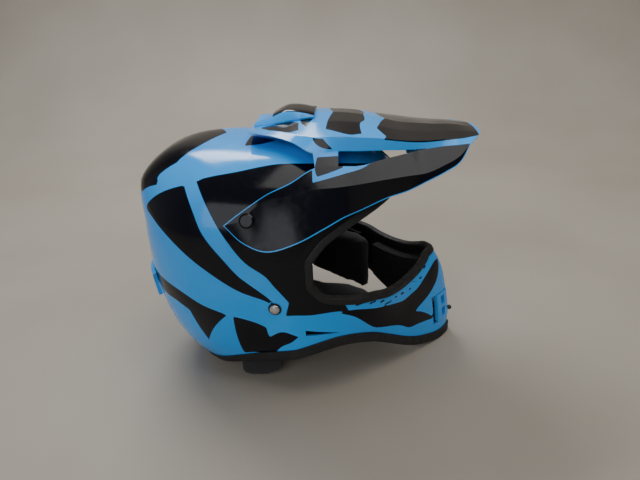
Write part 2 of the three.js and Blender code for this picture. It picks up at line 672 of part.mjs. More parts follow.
// A flat strip through centre points [x, y, z]; its width lies along X.
function strip(points, wide, thick, side) {
  return loft(points.map(([x, y, z], k) => {
    const [, y0, z0] = points[Math.max(k - 1, 0)];
    const [, y1, z1] = points[Math.min(k + 1, points.length - 1)];
    const long = Math.hypot(y1 - y0, z1 - z0);
    const [ny, nz] = [(-(z1 - z0) / long) * thick / 2, ((y1 - y0) / long) * thick / 2];
    return [[-1, -1], [1, -1], [1, 1], [-1, 1]].map(([a, b]) => new THREE.Vector3(
      x + (a * wide) / 2, -side * (y + b * ny), z + b * nz));
  }));
}

const WEB = { wide: 20, thick: 1.7 };

// The webbing loops round the hanger's bar and drops to the pad.
function webbing(side) {
  const { x } = RIVET;
  const { z } = HANGER;
  const y = -hangerY;
  const loop = strip([[x - 4, y + 3, z - 12], [x, y + 2.3, z - 1], [x, y + 2, z + 2.4], [x, y, z + 3.8],
    [x, y - 2, z + 2.4], [x, y - 2.3, z - 1], [x - 4, y + 0.4, z - 12]], WEB.wide, WEB.thick, side);
  const drop = strip([[x - 3.6, y + 1.7, z - 11], [x - 14, y + 11, z - 32], [PAD.x, PAD.y, PAD.top + 7],
    [PAD.x, PAD.y, PAD.top + 0.5]], WEB.wide, 3.6, side);
  return join(loop, [drop]);
}

// Comfort sleeve that the webbing runs into.
function strapPad(side) {
  const shape = outline([[-66, PAD.top - 6], [-70, 22], [-71, 8], [-66, 2.5], [-58, 0.6], [-46, 0.6], [-34, 3.5],
    [-27, 9], [-25, 18], [-26, PAD.top - 1], [-30, PAD.top], [-60, PAD.top]]);
  const body = alongY(shape, PAD.y - PAD.thick / 2, PAD.y + PAD.thick / 2);
  return side < 0 ? body : mirrorY(body);
}

// The long strap's end, folded in three against the right pad's inner face.
function strapTail() {
  const inner = PAD.y + PAD.thick / 2 + 1.3;
  const path = [[-48, inner, 28], [-48, inner, 9], [-48, inner + 1.5, 7.4], [-48, inner + 3, 9],
    [-48, inner + 3, 26], [-48, inner + 4.5, 27.6], [-48, inner + 6, 26], [-48, inner + 6, 8]];
  return strip(path, WEB.wide, WEB.thick, -1);
}

const snapStud = () => turned([[0, 0], [5, 0], [5, 1.2], [3.4, 2.2], [0, 2.4]],
  new THREE.Vector3(-48, PAD.y + PAD.thick / 2 + 8.5, 18), new THREE.Vector3(0, 1, 0), 20);

// Left side: a loop of webbing on the pad's inner face carries the two D-rings.
const RING = { y: 73.3, z: 24, inner: 4.2, wire: 1.5, wide: 15, drop: 17 };

function ringLoop() {
  return turned([[RING.inner, -8], [RING.inner + 1.6, -8], [RING.inner + 1.6, 8], [RING.inner, 8],
    [RING.inner, -8]], new THREE.Vector3(PAD.x, RING.y, RING.z), new THREE.Vector3(1, 0, 0), 20);
}

function dRing(offset) {
  const half = RING.wide;
  const drop = RING.drop;
  const p = (x, z) => new THREE.Vector3(x, 0, z);
  const corners = [p(-half, 0), p(-half, -drop * 0.55), p(-half * 0.55, -drop), p(half * 0.55, -drop),
    p(half, -drop * 0.55), p(half, 0)];
  const sections = [];
  corners.forEach((c, k) => {
    const before = corners[(k + corners.length - 1) % corners.length];
    const after = corners[(k + 1) % corners.length];
    const into = c.clone().sub(before).normalize();
    const out = after.clone().sub(c).normalize();
    const bisector = into.clone().sub(out).normalize();
    const reach = 1 / Math.sqrt((1 + into.dot(out)) / 2);
    sections.push([0, 1, 2, 3, 4, 5, 6, 7].map((s) => {
      const a = (s / 8) * 2 * Math.PI;
      return c.clone().addScaledVector(bisector, Math.cos(a) * RING.wire * reach)
        .add(new THREE.Vector3(0, Math.sin(a) * RING.wire, 0));
    }));
  });
  return loft(sections, true).translate(PAD.x, RING.y + offset, RING.z);
}

// ---------------------------------------------------------------- cheek pad studs
const STUDS = [69, 81].map((angle) => [angle, 85]);

const studPoint = (side, [angle, z]) => surface(side * angle * DEG, liftAt(side * angle * DEG, z));
const studRods = (side, radius, from) => STUDS.map((stud) => {
  const p = studPoint(side, stud);
  return rod(radius, -19, from, p, normalAt(p), 12);
});

function studPlate(side) {
  const plate = patch(side * 66, side * 84, 5, () => 77, () => 93, 2).solid(7.8, 9.4);
  return join(plate, studRods(side, 2.6, -8.6));
}

// ---------------------------------------------------------------- materials and assembly
const finish = (color, roughness, metalness = 0) => new THREE.MeshStandardMaterial({
  color, roughness, metalness });
const BLUE = finish(0x3a96e0, 0.25);
const BLACK_GLOSS = finish(0x0c0c12, 0.15);
const RUBBER = finish(0x141414, 0.75);
const FOAM = finish(0x2a2a2c, 0.95);
const FABRIC = finish(0x17171a, 0.9);
const WEBBING = finish(0x101012, 0.85);
const STEEL = finish(0xb8b8bc, 0.3, 1);
const PLASTIC = finish(0x111114, 0.5);

const helmet = new THREE.Group();
function add(name, geometry, material) {
  const mesh = new THREE.Mesh(geometry, material.clone());
  mesh.name = name;
  helmet.add(mesh);
}

add('shell', shellBody(), BLUE);
add('eps_liner', foamLiner(), FOAM);
add('chin_foam', chinFoam(), FOAM);
add('crown_pad', crownPad(), FABRIC);
add('neck_roll', neckRoll(), FABRIC);
add('base_trim', baseTrim(), RUBBER);
add('eyeport_trim', eyeportTrim(), RUBBER);
add('peak', peakBody(), BLACK_GLOSS);
add('peak_hood', peakHood(), BLACK_GLOSS);
add('peak_bracket', peakBracket(), PLASTIC);
add('peak_clamp_screw', clampScrew(), PLASTIC);
add('chin_vent_grille', chinGrille(), PLASTIC);
add('chin_vent_shutter', chinShutter(), PLASTIC);
add('chin_vent_mesh', chinMesh(), STEEL);
add('rear_spoiler', rearSpoiler(), BLUE);
[['right', -1], ['left', 1]].forEach(([name, side]) => {
  add(`cheek_pad_${name}`, cheekPad(side), FABRIC);
  add(`cheek_block_${name}`, cheekBlock(side), FOAM);
  add(`cheek_stud_plate_${name}`, studPlate(side), PLASTIC);
  add(`peak_side_screw_${name}`, sideScrew(side), PLASTIC);
  add(`peak_side_nut_${name}`, sideNut(side), STEEL);
  add(`brow_vent_${name}`, browVent(side), PLASTIC);
  add(`strap_rivet_${name}`, rivet(side), STEEL);
  add(`strap_rivet_washer_${name}`, rivetWasher(side), RUBBER);
  add(`strap_hanger_${name}`, hanger(side), STEEL);
  add(`strap_${name}`, webbing(side), WEBBING);
  add(`strap_pad_${name}`, strapPad(side), FABRIC);
});
add('strap_tail', strapTail(), WEBBING);
add('snap_stud', snapStud(), PLASTIC);
add('d_ring_loop', ringLoop(), WEBBING);
add('d_ring_front', dRing(1.8), STEEL);
add('d_ring_back', dRing(-1.8), STEEL);

const bounds = new THREE.Box3().setFromObject(helmet);
helmet.position.x = -(bounds.min.x + bounds.max.x) / 2;
export default helmet;
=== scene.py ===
"""Looks of the motocross helmet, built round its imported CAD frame.

Shapes are worked out in millimetres in the head's frame, whose x = 0 is near the ears: +X forward, +Y the
wearer's left, +Z up. row() turns them into the row frame, in metres.
"""
import math

import bmesh
import bpy
import numpy as np
from mathutils import Matrix, Vector


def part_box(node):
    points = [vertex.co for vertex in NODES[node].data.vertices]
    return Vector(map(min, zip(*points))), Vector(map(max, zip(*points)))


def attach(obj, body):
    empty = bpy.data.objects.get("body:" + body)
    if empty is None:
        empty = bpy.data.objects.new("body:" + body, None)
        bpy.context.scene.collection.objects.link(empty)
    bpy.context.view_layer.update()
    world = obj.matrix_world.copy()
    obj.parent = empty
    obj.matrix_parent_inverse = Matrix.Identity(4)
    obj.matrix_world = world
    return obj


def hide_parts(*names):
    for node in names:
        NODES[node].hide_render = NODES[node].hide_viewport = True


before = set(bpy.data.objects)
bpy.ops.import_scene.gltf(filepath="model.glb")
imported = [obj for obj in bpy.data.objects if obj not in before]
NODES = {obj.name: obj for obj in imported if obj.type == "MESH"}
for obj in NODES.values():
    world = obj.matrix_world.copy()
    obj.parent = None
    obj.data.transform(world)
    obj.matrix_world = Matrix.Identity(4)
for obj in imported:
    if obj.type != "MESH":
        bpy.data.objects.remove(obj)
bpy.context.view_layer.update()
SHIFT = -5.05                      # mm, head frame to row frame along X
EYE = np.array([15.0, 0.0, 110.0])  # middle of the head's space, which rays to the shell start from
SHELL_WALL = 4.5
PEAK_WALL = 2.6
SHARP_ANGLE = 35                   # degrees above which an edge stays crisp
HALVINGS = 30                      # steps of a search along a ray
CURVE_STEPS = 6                    # pieces of a curve between two outline points
PRESSURE = 4
CLOTH_FRAMES = 15


def row(points):
    """Head-frame millimetres to row-frame metres."""
    return (np.asarray(points, float) + [SHIFT, 0, 0]) / 1000


# ---------------------------------------------------------------- camera
def add_camera():
    """Camera ahead of the right side, looking down at the helmet."""
    pitch, roll, yaw = (math.radians(a) for a in (25, 2.8, 4))
    ahead = Vector((-math.sin(yaw) * math.cos(pitch), math.cos(yaw) * math.cos(pitch), -math.sin(pitch)))
    side = ahead.cross(Vector((0, 0, 1))).normalized()
    top = side.cross(ahead)
    right = side * math.cos(roll) - top * math.sin(roll)
    up = side * math.sin(roll) + top * math.cos(roll)
    data = bpy.data.cameras.new("camera")
    data.lens = 27.73
    data.sensor_width = 36
    data.clip_start = 0.01
    camera = bpy.data.objects.new("camera", data)
    place = Matrix((right, up, -ahead)).transposed().to_4x4()
    place.translation = row([53.4, -518.3, 366.8])
    camera.matrix_world = place
    bpy.context.scene.collection.objects.link(camera)
    bpy.context.scene.camera = camera


# ---------------------------------------------------------------- the shell's outer surface
CRANIUM = {"centre": (-30, 150), "x": (148, 142), "half": 121, "z": (101, 172), "plan": 2.25, "side": 2.6}
JAW = {"centre": (5, 74), "x": (168, 120), "half": 120, "z": (100, 200), "plan": 1.4, "side": 2.3}
BLEND = 14

RIM = [[0, 2.6], [8, 3], [20, 11], [30, 21], [43, 36], [58, 51], [75, 59], [90, 56], [111, 44], [128, 33],
       [141, 20], [155, 8], [166, 3], [180, 3]]
PORT_LOW = [[0, 114], [6, 112.5], [10, 108.5], [18, 102], [31, 98], [44, 98.5], [54, 102.5], [65, 105.5],
            [79, 112], [85, 117], [90, 130]]
PORT_HIGH = [[0, 203], [20, 203], [40, 200], [55, 195], [68, 188], [78, 179], [84, 171], [90, 156]]
PORT_END = 90


def superellipsoid(e, x, y, z):
    cx, cz = e["centre"]
    dx = np.abs(x - cx) / np.where(x > cx, *e["x"])
    dz = np.abs(z - cz) / np.where(z > cz, *e["z"])
    plan = (dx ** e["plan"] + (np.abs(y) / e["half"]) ** e["plan"]) ** (e["side"] / e["plan"])
    return (plan + dz ** e["side"]) ** (1 / e["side"])


def field(p):
    """Below zero inside the shell's outer surface, and close to a distance in mm near it."""
    x, y, z = p[..., 0], p[..., 1], p[..., 2]
    along = np.clip((-30 - x) / 110, 0, 1)
    ridge = 12 * along ** 2 * (3 - 2 * along) * np.exp(-((y / 62) ** 4)) * np.clip((z - 175) / 40, 0, 1)
    cranium = (superellipsoid(CRANIUM, x, y, z) - 1) * 120 - ridge
    pinch = 1 + 0.25 * np.clip((x - 40) / 100, 0, 1) ** 2
    jaw = (superellipsoid(JAW, x + 0.2 * (z - 20), y * pinch, z) - 1) * 110
    h = np.clip(0.5 + 0.5 * (jaw - cranium) / BLEND, 0, 1)
    return jaw + (cranium - jaw) * h - BLEND * h * (1 - h)


def normals_at(p):
    steps = np.eye(3) * 0.5
    slopes = np.stack([field(p + s) - field(p - s) for s in steps], -1)
    return slopes / np.linalg.norm(slopes, axis=-1, keepdims=True)


def march(start, way):
    """Where rays from inside the shell leave it."""
    low = np.zeros(start.shape[:-1])
    high = np.full(start.shape[:-1], 400.0)
    for _ in range(HALVINGS):
        middle = (low + high) / 2
        inside = field(start + way * middle[..., None]) < 0
        low = np.where(inside, middle, low)
        high = np.where(inside, high, middle)
    return start + way * low[..., None]


def at_height(angle, z):
    """Surface points at an angle from straight ahead (radians) and a height."""
    angle, z = np.broadcast_arrays(np.asarray(angle, float), np.asarray(z, float))
    start = np.stack([np.full(z.shape, EYE[0]), np.zeros(z.shape), z], -1)
    return march(start, np.stack([np.cos(angle), np.sin(angle), np.zeros(z.shape)], -1))


def at_lift(angle, lift):
    angle, lift = np.broadcast_arrays(np.asarray(angle, float), np.asarray(lift, float))
    way = np.stack([np.cos(lift) * np.cos(angle), np.cos(lift) * np.sin(angle), np.sin(lift)], -1)
    return march(np.broadcast_to(EYE, way.shape), way)


def hermite(points, t):
    """Smooth curve through [t, value] points."""
    ts, vs = np.array(points, float).T
    slopes = np.array([(vs[min(k + 1, len(ts) - 1)] - vs[max(k - 1, 0)])
                       / (ts[min(k + 1, len(ts) - 1)] - ts[max(k - 1, 0)]) for k in range(len(ts))])
    i = np.clip(np.searchsorted(ts, t) - 1, 0, len(ts) - 2)
    w = ts[i + 1] - ts[i]
    s = (t - ts[i]) / w
    return ((2 * s ** 3 - 3 * s ** 2 + 1) * vs[i] + (s ** 3 - 2 * s ** 2 + s) * w * slopes[i]
            + (3 * s ** 2 - 2 * s ** 3) * vs[i + 1] + (s ** 3 - s ** 2) * w * slopes[i + 1])


def degrees_off(angle):
    return np.degrees(np.abs(np.arctan2(np.sin(angle), np.cos(angle))))


def rim_z(angle):
    return np.maximum(hermite(RIM, degrees_off(angle)), 3)


def port_low(angle):
    return hermite(PORT_LOW, np.minimum(degrees_off(angle), PORT_END))


def port_high(angle):
    return hermite(PORT_HIGH, np.minimum(degrees_off(angle), PORT_END))


# ---------------------------------------------------------------- objects and meshes
def add_object(name, data):
    obj = bpy.data.objects.new(name, data)
    bpy.context.scene.collection.objects.link(obj)
    return obj


def mesh_object(name, points, faces, sharp=SHARP_ANGLE, measures=None):
    """Row-frame mesh with merged doubles; measures are values kept with its points."""
    mesh = bpy.data.meshes.new(name)
    mesh.from_pydata([tuple(p) for p in row(points)], [], faces)
    for key, values in (measures or {}).items():
        layer = mesh.attributes.new(key, "FLOAT", "POINT")
        layer.data.foreach_set("value", np.asarray(values, np.float32))
    bm = bmesh.new()
    bm.from_mesh(mesh)
    bmesh.ops.remove_doubles(bm, verts=bm.verts, dist=0.00005)
    bmesh.ops.dissolve_degenerate(bm, edges=bm.edges, dist=0.00001)
    bmesh.ops.recalc_face_normals(bm, faces=bm.faces)
    bm.to_mesh(mesh)
    bm.free()
    shade(mesh, sharp)
    return add_object(name, mesh)


def shade(mesh, sharp):
    """Smooth faces with crisp edges above an angle in degrees."""
    bm = bmesh.new()
    bm.from_mesh(mesh)
    for face in bm.faces:
        face.smooth = True
    for edge in bm.edges:
        edge.smooth = len(edge.link_faces) == 2 and edge.calc_face_angle(0) < math.radians(sharp)
    bm.to_mesh(mesh)
    bm.free()


def apply_modifiers(obj):
    fresh = bpy.data.meshes.new_from_object(obj.evaluated_get(bpy.context.evaluated_depsgraph_get()))
    obj.modifiers.clear()
    obj.data = fresh


def carve(obj, cutters):
    """Cuts closed bodies out of a closed body."""
    for cutter in cutters:
        tool = obj.modifiers.new("cut", "BOOLEAN")
        tool.operation = "DIFFERENCE"
        tool.solver = "EXACT"
        tool.object = cutter
    apply_modifiers(obj)
    for cutter in cutters:
        bpy.data.objects.remove(cutter)
    shade(obj.data, SHARP_ANGLE)


def prism(name, outline, low, high):
    """Closed body from an outline in X and Z, between two values of y."""
    n = len(outline)
    points = [(x, y, z) for y in (low, high) for x, z in outline]
    sides = [(k, (k + 1) % n, n + (k + 1) % n, n + k) for k in range(n)]
    return mesh_object(name, points, sides + [tuple(range(n)), tuple(range(n, 2 * n))])


def head_points(obj):
    """The object's vertices in head-frame millimetres."""
    flat = np.zeros(len(obj.data.vertices) * 3)
    obj.data.vertices.foreach_get("co", flat)
    return flat.reshape(-1, 3) * 1000 - [SHIFT, 0, 0]


def grid_faces(columns, rows, keep=lambda i, j: True):
    return [(i * rows + j, (i + 1) * rows + j, (i + 1) * rows + j + 1, i * rows + j + 1)
            for i in range(columns - 1) for j in range(rows - 1) if keep(i, j)]


def face_outward(obj, centre):
    """Turns an open sheet's faces away from a head-frame point."""
    middle = Vector(row(centre))
    score = sum((f.center - middle).dot(f.normal) * f.area for f in obj.data.polygons)
    if score < 0:
        obj.data.flip_normals()


def thicken(obj, millimetres, inside=0, rim=0):
    """Gives a sheet its thickness; inside and rim pick other material slots for those faces."""
    solid = obj.modifiers.new("solid", "SOLIDIFY")
    solid.thickness = millimetres / 1000
    solid.offset = -1
    solid.use_even_offset = True
    solid.thickness_clamp = 1
    solid.material_offset = inside
    solid.material_offset_rim = rim


def bevel(obj, millimetres, segments=2):
    soft = obj.modifiers.new("bevel", "BEVEL")
    soft.width = millimetres / 1000
    soft.segments = segments
    soft.limit_method = "ANGLE"
    soft.angle_limit = math.radians(SHARP_ANGLE)
    soft.harden_normals = True


def store(obj, name, values):
    layer = obj.data.attributes.new(name, "FLOAT", "POINT")
    layer.data.foreach_set("value", np.asarray(values, np.float32))


# ---------------------------------------------------------------- painted areas
def inside_by(points, outline):
    """Signed distance of 2-D points to a polygon, above zero inside it."""
    best = np.full(len(points), 1e9)
    inside = np.zeros(len(points), bool)
    for a, b in zip(outline, np.roll(outline, -1, axis=0)):
        edge = b - a
        rel = points - a
        s = np.clip(rel @ edge / (edge @ edge), 0, 1)
        best = np.minimum(best, np.linalg.norm(rel - s[:, None] * edge, axis=1))
        crosses = (a[1] > points[:, 1]) != (b[1] > points[:, 1])
        with np.errstate(divide="ignore", invalid="ignore"):
            x = a[0] + (points[:, 1] - a[1]) * edge[0] / edge[1]
        inside ^= crosses & (points[:, 0] < x)
    return np.where(inside, best, -best)


def rounded(outline, corner=36):
    """Outline with curves between its points, except at turns sharper than the corner angle in degrees."""
    p = np.array(outline, float)
    ahead, behind = np.roll(p, -1, axis=0) - p, p - np.roll(p, 1, axis=0)
    turn = np.abs(np.degrees([math.atan2(b[0] * a[1] - b[1] * a[0], a @ b) for a, b in zip(ahead, behind)]))
    out = []
    for k in range(len(p)):
        n = (k + 1) % len(p)
        chord = p[n] - p[k]
        leave = chord if turn[k] > corner else (p[n] - p[k - 1]) / 2
        arrive = chord if turn[n] > corner else (p[(n + 1) % len(p)] - p[k]) / 2
        leave, arrive = (v * np.linalg.norm(chord) / max(np.linalg.norm(v), 1e-9) for v in (leave, arrive))
        for s in np.arange(CURVE_STEPS) / CURVE_STEPS:
            out.append((2 * s ** 3 - 3 * s ** 2 + 1) * p[k] + (s ** 3 - 2 * s ** 2 + s) * leave
                       + (3 * s ** 2 - 2 * s ** 3) * p[n] + (s ** 3 - s ** 2) * arrive)
    return np.array(out)


def area(points, *outlines):
    """Signed distance to the union of several outlines."""
    return np.max([inside_by(points, rounded(o)) for o in outlines], axis=0)


def dome(p):
    """Head-frame points laid flat round the crown, as far from it as their angle from upright."""
    d = np.asarray(p, float) - EYE
    flat = np.hypot(d[..., 0], d[..., 1])
    polar = np.degrees(np.arctan2(flat, d[..., 2]))
    return np.stack([polar * d[..., 0], polar * d[..., 1]], -1) / np.maximum(flat, 1e-6)[..., None]


# Black areas of the shell's left half, as head-frame points on its surface.
# A small negative y crosses the middle.
SHELL_BLACK = {
    "spine": [(-178, -6, 200), (-161, 47, 205), (-132, 66, 219), (-138, 57, 224), (-116, 55, 237),
              (-93, 34, 250), (-74, -6, 253)],
    "rear_side": [(-155, 60, 193), (-103, 81, 222), (-92, 102, 203), (-83, 112, 184), (-66, 118, 162),
                  (-50, 120, 142), (-17, 121, 110), (-29, 121, 117), (-56, 120, 129), (-90, 113, 152),
                  (-124, 95, 177)],
    "side": [(-91, 82, 227), (-52, 82, 234), (-16, 75, 238), (21, 70, 237), (60, 56, 234), (90, 30, 228),
             (112, -8, 212), (125, -8, 150), (62, 100, 112), (45, 108, 107), (50, 105, 95), (16, 117, 99),
             (-11, 122, 101), (-7, 121, 115), (-19, 121, 132), (-27, 121, 144), (-45, 121, 159),
             (-62, 116, 183), (-77, 104, 207)],
    "chin": [(40, 108, 96), (78, 87, 87), (105, 62, 78), (123, 43, 81), (135, 29, 90), (148, 11, 100),
             (153, 2, 100), (153, 10, 88), (149, 18, 77), (138, 31, 65), (123, 46, 56), (150, 24, 31),
             (130, 42, 37), (113, 57, 42), (78, 86, 62), (49, 105, 91)],
    "nape": [(-176, -6, 132), (-155, 64, 126), (-114, 102, 116), (-94, 110, 107), (-70, 116, 99),
             (-98, 99, 57), (-112, 101, 96), (-126, 93, 102), (-146, 75, 105), (-172, -6, 116)],
    "jaw": [(-64, 117, 98), (-32, 119, 86), (-30, 117, 73), (-15, 121, 82), (0, 121, 76), (-8, 121, 69),
            (-20, 119, 60), (-29, 112, 45), (-60, 104, 45)],
    "under_peak": [(-50, 43, 249), (-48, 10, 252), (-20, 29, 250), (-34, 39, 249)],
}
# Small dark blocks scattered along the blue band under the eye port: (x, |y|, z, length, height) in mm.
BAND_BLOCKS = [(60, 98, 100, 11, 2.2), (74, 90, 96, 9, 2), (84, 81, 92, 7, 2.4), (91, 75, 86, 12, 2),
               (99, 67, 88, 5, 2), (107, 59, 87, 6, 2.6), (116, 49, 86, 5, 2.4), (123, 42, 91, 6, 2.4),
               (130, 34, 92, 5, 3), (137, 25, 100, 6, 3), (142, 17, 106, 5, 3)]
SHELL_SATIN = [(-45, 121, 159), (0, 124, 156), (60, 96, 220), (112, -8, 212), (125, -8, 150), (62, 100, 112),
               (45, 108, 107), (50, 105, 95), (16, 117, 99), (-11, 122, 101), (-7, 121, 115), (-19, 121, 132),
               (-27, 121, 144)]


# ---------------------------------------------------------------- materials
class Nodes:
    """Short calls for building one material's node tree."""

    def __init__(self, name):
        self.material = bpy.data.materials.new(name)
        self.material.use_nodes = True
        self.tree = self.material.node_tree
        self.shader = self.tree.nodes["Principled BSDF"]

    def add(self, kind, inputs=None, **settings):
        node = self.tree.nodes.new("ShaderNode" + kind)
        for key, value in settings.items():
            setattr(node, key, value)
        for key, value in (inputs or {}).items():
            self.put(node.inputs[key], value)
        return node

    def put(self, socket, value):
        if isinstance(value, bpy.types.NodeSocket):
            self.tree.links.new(value, socket)
        else:
            socket.default_value = value

    def math(self, operation, a, b=0.0, clamp=False):
        node = self.add("Math", {0: a, 1: b}, operation=operation, use_clamp=clamp)
        return node.outputs[0]

    def mix(self, factor, a, b):
        node = self.add("Mix", data_type="RGBA")
        self.put(node.inputs["Factor"], factor)
        self.put(node.inputs["A"], a)
        self.put(node.inputs["B"], b)
        return node.outputs["Result"]

    def noise(self, scale, detail=3.0, stretch=None):
        where = self.add("TexCoord").outputs["Object"]
        if stretch:
            where = self.add("Mapping", {"Vector": where, "Scale": stretch}).outputs[0]
        return self.add("TexNoise", {"Vector": where, "Scale": scale, "Detail": detail}).outputs["Fac"]

    def span(self, value, low, high, to_low=0.0, to_high=1.0):
        node = self.add("MapRange", {"Value": value, "From Min": low, "From Max": high, "To Min": to_low,
                                     "To Max": to_high})
        return node.outputs[0]

    def bump(self, height, strength, distance=0.0002):
        node = self.add("Bump", {"Height": height, "Strength": strength, "Distance": distance})
        self.put(self.shader.inputs["Normal"], node.outputs[0])

    def paint(self, attribute):
        """1 inside a painted area and 0 outside, with a crisp edge."""
        value = self.add("Attribute", attribute_name=attribute).outputs["Fac"]
        return self.math("ADD", self.math("MULTIPLY", value, 6.0), 0.5, clamp=True)

    def set(self, **values):
        for key, value in values.items():
            self.put(self.shader.inputs[key.replace("_", " ")], value)
        return self.material


BLUE = (0.045, 0.42, 1.0, 1)
DEEP_BLUE = (0.035, 0.38, 0.97, 1)
BLACK = (0.001, 0.0012, 0.005, 1)
SATIN_BLACK = (0.003, 0.003, 0.005, 1)


def painted_material(name, satin=False, plain=None):
    """Glossy plastic, blue with black areas unless plain, with faint orange peel, dust and fine scuffs."""
    n = Nodes(name)
    black = n.paint("black") if plain is None else plain
    cloud = n.span(n.noise(14, 2), 0.35, 0.65)
    blue = n.mix(cloud, BLUE, DEEP_BLUE)
    dark = BLACK
    rough = n.span(n.noise(160, 4), 0.3, 0.8, 0.10, 0.2)
    if satin:
        matt = n.paint("satin")
        dark = n.mix(matt, BLACK, SATIN_BLACK)
        rough = n.math("ADD", rough, n.math("MULTIPLY", matt, 0.3))
    specks = n.span(n.noise(900, 2), 0.7, 0.78)
    colour = n.mix(n.math("MULTIPLY", specks, 0.05), n.mix(black, blue, dark), (0.5, 0.5, 0.5, 1))
    n.bump(n.noise(420, 2), 0.02)
    n.shader.inputs["Specular IOR Level"].default_value = 0.3
    return n.set(Base_Color=colour, Roughness=rough)


def edge_highlight_material():
    """Bare blue plastic of the peak's cut edge, painted lighter and whiter as a painted highlight for the
    light its rounded edge catches.
    """
    n = Nodes("peak_edge_highlight")
    n.bump(n.noise(700, 2), 0.05)
    colour = n.mix(n.span(n.noise(40), 0.4, 0.6), (0.12, 0.52, 0.95, 1), (0.25, 0.62, 0.95, 1))
    return n.set(Base_Color=colour, Roughness=0.25)


def inside_material():
    """Unpainted inside of the shell."""
    n = Nodes("shell_inside")
    n.bump(n.noise(260, 4), 0.3)
    colour = n.mix(n.span(n.noise(50), 0.4, 0.7), (0.006, 0.006, 0.007, 1), (0.014, 0.014, 0.014, 1))
    return n.set(Base_Color=colour, Roughness=0.8)


def rubber_material():
    n = Nodes("rubber")
    n.bump(n.noise(1500, 3), 0.15)
    dust = n.span(n.noise(60, 4), 0.45, 0.8, 0.0, 0.25)
    return n.set(Base_Color=n.mix(dust, (0.008, 0.008, 0.009, 1), (0.05, 0.047, 0.043, 1)),
                 Roughness=n.span(n.noise(200), 0.3, 0.7, 0.5, 0.72))


def foam_material():
    """Moulded bead foam."""
    n = Nodes("bead_foam")
    where = n.add("TexCoord").outputs["Object"]
    beads = n.add("TexVoronoi", {"Vector": where, "Scale": 320}).outputs["Distance"]
    n.bump(beads, 0.5, 0.0005)
    return n.set(Base_Color=n.mix(n.span(beads, 0, 0.7), (0.022, 0.022, 0.024, 1), (0.009, 0.009, 0.01, 1)),
                 Roughness=0.85)


def fabric_material(name, colour, thread=900):
    """Brushed knit: fine ribs crossed by softer ones, with lint."""
    n = Nodes(name)
    where = n.add("TexCoord").outputs["Object"]
    ribs = [n.add("TexWave", {"Vector": where, "Scale": thread * s, "Distortion": 1.5, "Detail": 1.0,
                              "Detail Scale": 2.0}, bands_direction=d).outputs["Fac"]
            for d, s in (("X", 0.5), ("Z", 0.35))]
    weave = n.math("MULTIPLY", ribs[0], ribs[1])
    n.bump(n.math("ADD", weave, n.noise(600, 4)), 0.4, 0.0004)
    light = tuple(min(c * 2.2 + 0.006, 1) for c in colour[:3]) + (1,)
    fade = n.math("MULTIPLY", n.span(n.noise(45, 4), 0.3, 0.8), 0.5)
    return n.set(Base_Color=n.mix(n.math("MULTIPLY", fade, weave), colour, light), Roughness=0.92,
                 Sheen_Weight=0.35, Sheen_Roughness=0.5)


def webbing_material():
    """Woven strap: a tight diagonal twill."""
    n = Nodes("webbing")
    where = n.add("TexCoord").outputs["Object"]
    ribs = [n.add("TexWave", {"Vector": where, "Scale": 420}, bands_direction=d).outputs["Fac"]
            for d in ("X", "Z")]
    weave = n.math("MULTIPLY", *ribs)
    n.bump(weave, 0.7, 0.0004)
    return n.set(Base_Color=n.mix(weave, (0.005, 0.005, 0.006, 1), (0.028, 0.028, 0.03, 1)), Roughness=0.75)


def metal_material():
    n = Nodes("steel")
    grain = n.noise(70, 3, (1, 1, 14))
    n.bump(grain, 0.05)
    return n.set(Base_Color=n.mix(n.span(n.noise(25), 0.4, 0.7), (0.62, 0.61, 0.59, 1), (0.5, 0.47, 0.43, 1)),
                 Metallic=1.0, Roughness=n.span(grain, 0.3, 0.7, 0.18, 0.34))


def plastic_material():
    """Moulded black plastic with a fine leather-like grain."""
    n = Nodes("moulded_plastic")
    n.bump(n.noise(1100, 3), 0.12)
    colour = n.mix(n.span(n.noise(30, 3), 0.4, 0.7), (0.010, 0.010, 0.011, 1), (0.02, 0.02, 0.02, 1))
    return n.set(Base_Color=colour, Roughness=n.span(n.noise(220), 0.3, 0.7, 0.3, 0.5))


def floor_material():
    n = Nodes("floor")
    blotch = n.span(n.noise(3, 5), 0.35, 0.7)
    return n.set(Base_Color=n.mix(blotch, (0.40, 0.36, 0.30, 1), (0.35, 0.31, 0.255, 1)), Roughness=0.6)


# ---------------------------------------------------------------- shell
COLUMNS = 288
LOW_ROWS = np.linspace(0, 1, 34)
MIDDLE_ROWS = 22
CROWN_ROWS = 44


def shell_grid():
    """Outer surface points, one column per angle, from the rim to the top of the crown."""
    angles = -math.pi + 2 * math.pi * np.arange(COLUMNS + 1) / COLUMNS
    rim, low, high = rim_z(angles), port_low(angles), port_high(angles)
    heights = [rim + (low - rim) * f for f in LOW_ROWS]
    heights += [low + (high - low) * k / MIDDLE_ROWS for k in range(1, MIDDLE_ROWS + 1)]
    walls = at_height(angles[:, None], np.stack(heights, 1))
    top = walls[:, -1] - EYE
    lift = np.arctan2(top[:, 2], np.hypot(top[:, 0], top[:, 1]))
    share = np.arange(1, CROWN_ROWS + 1) / CROWN_ROWS
    crown = at_lift(angles[:, None], lift[:, None] + (math.pi / 2 - lift[:, None]) * share)
    return angles, np.concatenate([walls, crown], axis=1)


